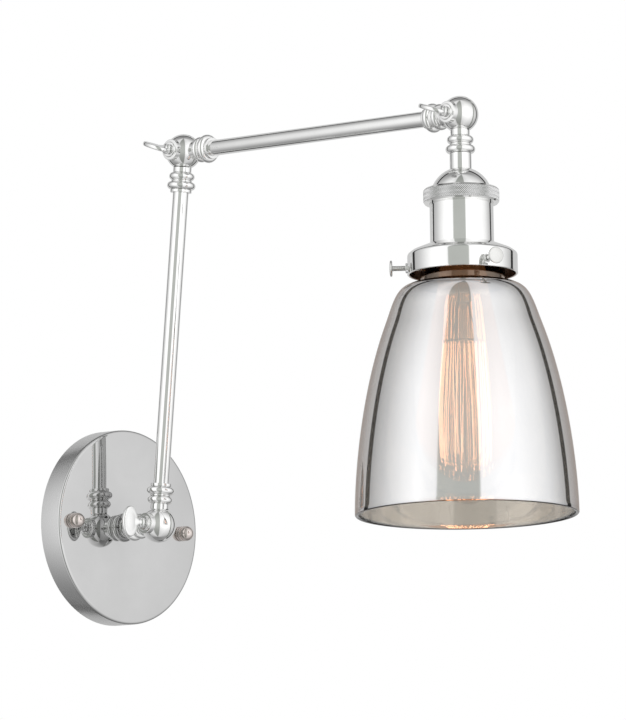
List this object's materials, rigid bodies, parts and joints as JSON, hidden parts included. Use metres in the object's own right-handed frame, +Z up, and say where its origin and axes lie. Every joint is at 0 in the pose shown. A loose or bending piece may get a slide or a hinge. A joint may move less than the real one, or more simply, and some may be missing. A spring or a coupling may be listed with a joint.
{
  "type": "swing arm wall sconce",
  "caption": "Wall lamp with a round plate, two straight arms on ball pivots with thumb screws, a knurled lamp holder and a bell shaped mirrored glass shade.",
  "frame": {"origin": "centre of the round wall plate, on the wall plane", "axes": "+Y into the wall, -Y out into the room, +Z up, +X to the right for a person facing the wall"},
  "size_m": [0.131, 0.3596, 0.3009],
  "materials": {
    "plate_nickel": "polished face, satin rim, nickel plated",
    "polished_nickel": "polished nickel plate",
    "knurled_nickel": "diamond knurled, nickel plated",
    "warm_nickel": "polished, warm nickel tint",
    "zinc_steel": "zinc plated steel",
    "ground_green": "green dyed zinc",
    "brass": "plain brass",
    "phenolic": "moulded phenolic",
    "fibre": "vulcanised fibre",
    "lead_insulation": "woven glass sleeve",
    "mirror_glass": "half silvered, smoky",
    "bulb_glass": "clear with a faint amber tint",
    "support_wire": "drawn wire",
    "filament": "lit filament wire"
  },
  "bodies": {
    "wall_plate": {"backplate": "plate_nickel", "crossbar": "zinc_steel", "mounting_studs": "zinc_steel", "stud_lock_nuts": "zinc_steel", "cap_nuts": "warm_nickel", "ground_screw": "ground_green"},
    "wall_swivel": {"base_knuckle_wall_half": "polished_nickel", "swivel_nipple": "zinc_steel", "swivel_washer": "zinc_steel", "swivel_nut": "zinc_steel", "base_friction_washer": "fibre"},
    "lower_arm": {"base_knuckle_arm_half": "polished_nickel", "lower_arm_tube": "polished_nickel", "elbow_knuckle_lower_half": "polished_nickel", "lower_arm_leads": "lead_insulation", "elbow_friction_washer": "fibre"},
    "upper_arm": {"elbow_knuckle_upper_half": "polished_nickel", "upper_arm_tube": "polished_nickel", "head_knuckle_arm_half": "polished_nickel", "upper_arm_leads": "lead_insulation", "head_friction_washer": "fibre"},
    "shade_head": {"head_knuckle_shade_half": "polished_nickel", "head_stem": "polished_nickel", "stem_lock_nut": "zinc_steel", "socket_cap": "polished_nickel", "knurled_ring": "knurled_nickel", "socket_shell": "polished_nickel", "socket_insulator": "phenolic", "terminal_screws": "brass", "socket_leads": "lead_insulation", "socket_screw_shell": "brass", "centre_contact": "brass", "shade_fitter": "polished_nickel", "fitter_lock_ring": "zinc_steel", "glass_shade": "mirror_glass", "bulb_glass": "bulb_glass", "bulb_screw_base": "brass", "bulb_insulator": "phenolic", "bulb_tip_contact": "zinc_steel", "bulb_glass_stem": "bulb_glass", "filament_supports": "support_wire", "filament": "filament"},
    "base_screw": {"base_thumb_screw": "polished_nickel"},
    "elbow_screw": {"elbow_thumb_screw": "polished_nickel"},
    "head_screw": {"head_thumb_screw": "polished_nickel"},
    "shade_screw_a": {"shade_screw_front": "polished_nickel"},
    "shade_screw_b": {"shade_screw_left": "polished_nickel"},
    "shade_screw_c": {"shade_screw_right": "polished_nickel"}
  },
  "joints": [
    {"name": "wall_turn", "type": "hinge", "parent": "wall_plate", "child": "wall_swivel", "pos_m": [0, 0, 0], "axis": [0, 1, 0], "range_deg": [-90, 90]},
    {"name": "base_tilt", "type": "hinge", "parent": "wall_swivel", "child": "lower_arm", "pos_m": [0, -0.0414, 0], "axis": [1, 0, 0], "range_deg": [-5, 90]},
    {"name": "elbow_tilt", "type": "hinge", "parent": "lower_arm", "child": "upper_arm", "pos_m": [0, -0.05748, 0.22994], "axis": [1, 0, 0], "range_deg": [-90, 25]},
    {"name": "head_tilt", "type": "hinge", "parent": "upper_arm", "child": "shade_head", "pos_m": [0, -0.28497, 0.22795], "axis": [-1, 0, 0], "range_deg": [-25, 180]},
    {"name": "base_screw_turn", "type": "hinge", "parent": "wall_swivel", "child": "base_screw", "pos_m": [0, -0.0414, 0], "axis": [-1, 0, 0], "range_deg": [-180, 180]},
    {"name": "elbow_screw_turn", "type": "hinge", "parent": "lower_arm", "child": "elbow_screw", "pos_m": [0, -0.05748, 0.22994], "axis": [-1, 0, 0], "range_deg": [-180, 180]},
    {"name": "head_screw_turn", "type": "hinge", "parent": "upper_arm", "child": "head_screw", "pos_m": [0, -0.28497, 0.22795], "axis": [-1, 0, 0], "range_deg": [-180, 180]},
    {"name": "shade_screw_a_back_off", "type": "slide", "parent": "shade_head", "child": "shade_screw_a", "axis": [-0.3584, -0.9329, 0.0358], "range_m": [0, 0.004]},
    {"name": "shade_screw_b_back_off", "type": "slide", "parent": "shade_head", "child": "shade_screw_b", "axis": [-0.6293, 0.7766, -0.0298], "range_m": [0, 0.004]},
    {"name": "shade_screw_c_back_off", "type": "slide", "parent": "shade_head", "child": "shade_screw_c", "axis": [0.9877, 0.1563, -0.006], "range_m": [0, 0.004]}
  ]
}
